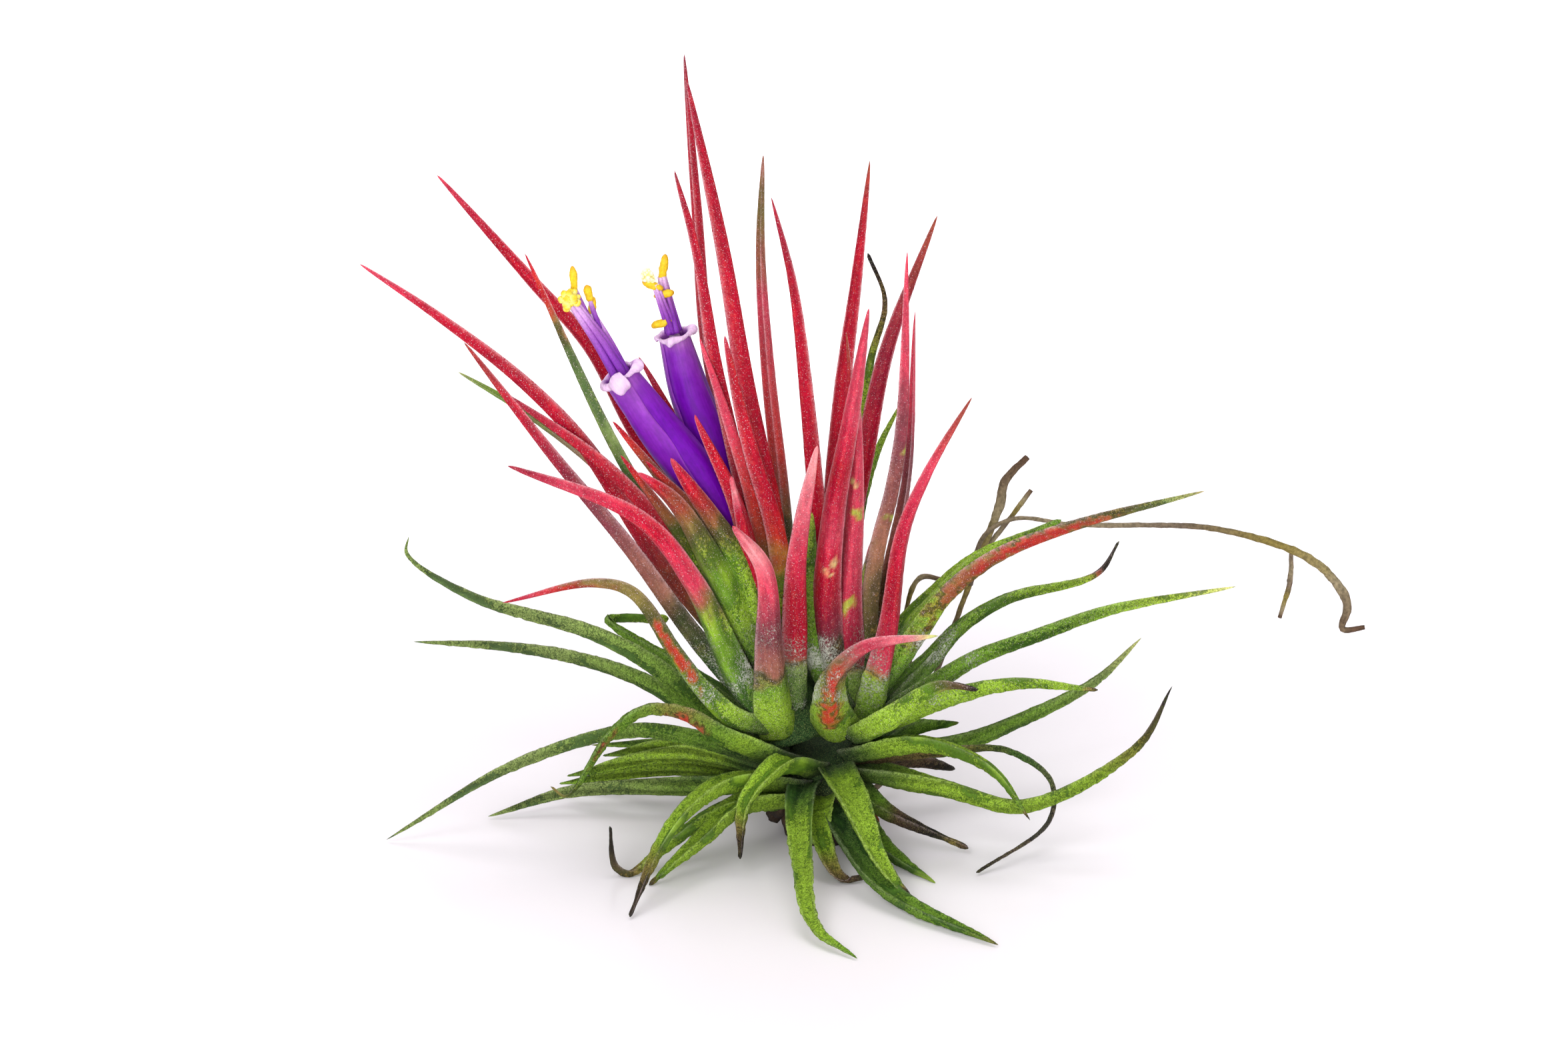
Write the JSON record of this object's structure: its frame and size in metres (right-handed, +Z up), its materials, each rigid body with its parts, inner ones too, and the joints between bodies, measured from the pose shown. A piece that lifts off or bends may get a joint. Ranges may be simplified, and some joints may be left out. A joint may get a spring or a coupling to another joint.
{
  "type": "air plant",
  "caption": "Free-standing air plant clump with two leafy heads, arching green lower leaves, violet tubular flowers and dry trailing roots.",
  "frame": {"origin": "middle of the flat underside of the stem, which the plant stands on", "axes": "+Z up along the stem, +X to the right as seen from the front, -Y towards the front"},
  "size_m": [0.1037, 0.0628, 0.0809],
  "materials": {
    "stem": "dry, rough, grey-brown",
    "green_leaf": "matt, scaly, grey-green scurf over green",
    "red_leaf": "matt, red above and silver-green at the sheath, fine pale scurf",
    "pink_leaf": "matt, pink-red above and green at the sheath, fine pale scurf",
    "petal": "satin, thin and slightly see-through, deep violet to lilac",
    "stamen": "satin violet filaments with powdery yellow anthers"
  },
  "bodies": {
    "root": {"stem_with_roots": "stem", "lower_green_leaves": "green_leaf", "flowering_head_leaves": "red_leaf", "side_head_leaves": "pink_leaf", "left_flower_petals": "petal", "left_flower_stamens": "stamen", "right_flower_petals": "petal", "right_flower_stamens": "stamen"}
  },
  "joints": []
}
